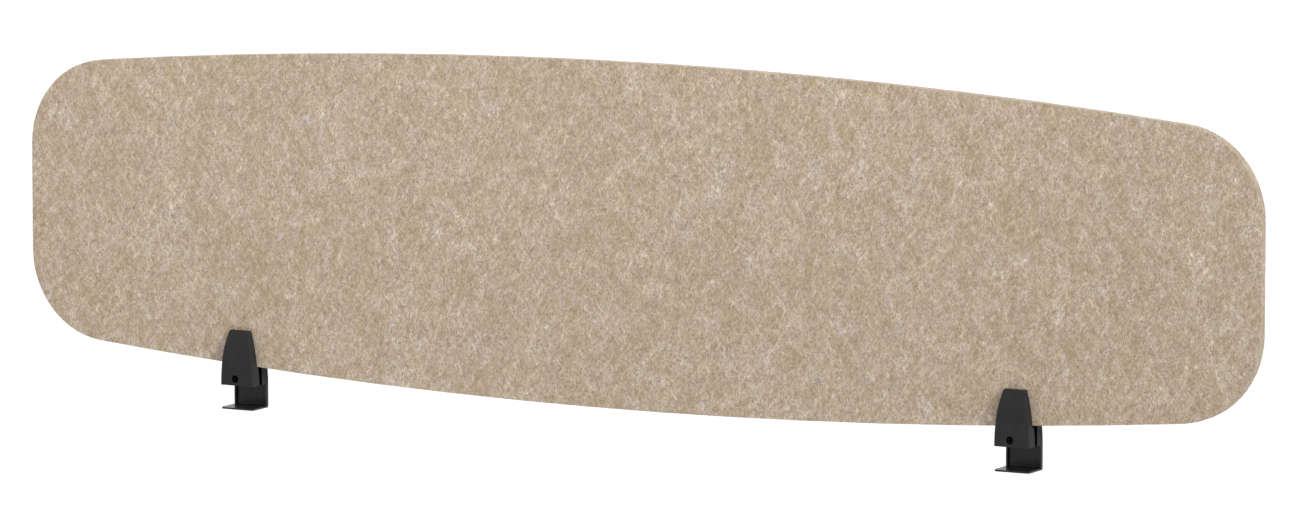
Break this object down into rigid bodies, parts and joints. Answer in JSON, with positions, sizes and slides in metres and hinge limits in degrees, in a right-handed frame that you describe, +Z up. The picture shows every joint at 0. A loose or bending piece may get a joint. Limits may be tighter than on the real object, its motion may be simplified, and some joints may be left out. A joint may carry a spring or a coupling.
{
  "type": "desk-edge acoustic divider screen",
  "caption": "Desk-edge acoustic divider: a felt board with arched edges and rounded corners, held by slim black clamps that hook under a desk top.",
  "frame": {"origin": "middle of the board's length, in the plane of the desk top's upper face (the foot pads' lower faces) and of the desk's edge (the fronts of the hooks' flanges)", "axes": "+X along the board to its right end as pictured, +Y from the desk outwards, square to the board, +Z up"},
  "size_m": [1.6, 0.0378, 0.4343],
  "materials": {
    "felt": "pressed polyester felt, melange olive and tan",
    "black_plastic": "moulded, fine satin texture",
    "black_coated_steel": "smooth semi-gloss powder coat",
    "black_screw_steel": "black oxide",
    "zinc_steel": "zinc plated",
    "black_rubber": "matt"
  },
  "bodies": {
    "screen": {"felt_panel": "felt", "left_rear_jaw": "black_plastic", "left_rear_grip_pad": "black_rubber", "left_rear_foot_pad": "black_rubber", "left_sleeve_nut": "black_screw_steel", "right_rear_jaw": "black_plastic", "right_rear_grip_pad": "black_rubber", "right_rear_foot_pad": "black_rubber", "right_sleeve_nut": "black_screw_steel"},
    "left_front_jaw": {"left_front_jaw": "black_plastic", "left_front_grip_pad": "black_rubber", "left_front_foot_pad": "black_rubber", "left_bolt_washer": "zinc_steel"},
    "left_bolt": {"left_clamp_bolt": "black_screw_steel"},
    "left_hook": {"left_desk_hook": "black_coated_steel"},
    "right_front_jaw": {"right_front_jaw": "black_plastic", "right_front_grip_pad": "black_rubber", "right_front_foot_pad": "black_rubber", "right_bolt_washer": "zinc_steel"},
    "right_bolt": {"right_clamp_bolt": "black_screw_steel"},
    "right_hook": {"right_desk_hook": "black_coated_steel"}
  },
  "joints": [
    {"name": "left_front_jaw_slide", "type": "slide", "parent": "screen", "child": "left_front_jaw", "axis": [0, -1, 0], "range_m": [0, 0.003]},
    {"name": "left_bolt_turn", "type": "hinge", "parent": "left_front_jaw", "child": "left_bolt", "pos_m": [-0.5132, -0.0235, 0.0081], "axis": [0, -1, 0], "range_deg": [0, 1350]},
    {"name": "left_hook_slide", "type": "slide", "parent": "screen", "child": "left_hook", "axis": [0, 0, -1], "range_m": [0, 0.012]},
    {"name": "right_front_jaw_slide", "type": "slide", "parent": "screen", "child": "right_front_jaw", "axis": [0, -1, 0], "range_m": [0, 0.003]},
    {"name": "right_bolt_turn", "type": "hinge", "parent": "right_front_jaw", "child": "right_bolt", "pos_m": [0.4988, -0.0235, 0.0081], "axis": [0, -1, 0], "range_deg": [0, 1350]},
    {"name": "right_hook_slide", "type": "slide", "parent": "screen", "child": "right_hook", "axis": [0, 0, -1], "range_m": [0, 0.012]}
  ],
  "couplings": [
    {"joint": "left_bolt_turn", "follows": "left_front_jaw_slide", "rad_per_m": 7853.9},
    {"joint": "right_bolt_turn", "follows": "right_front_jaw_slide", "rad_per_m": 7853.9}
  ]
}
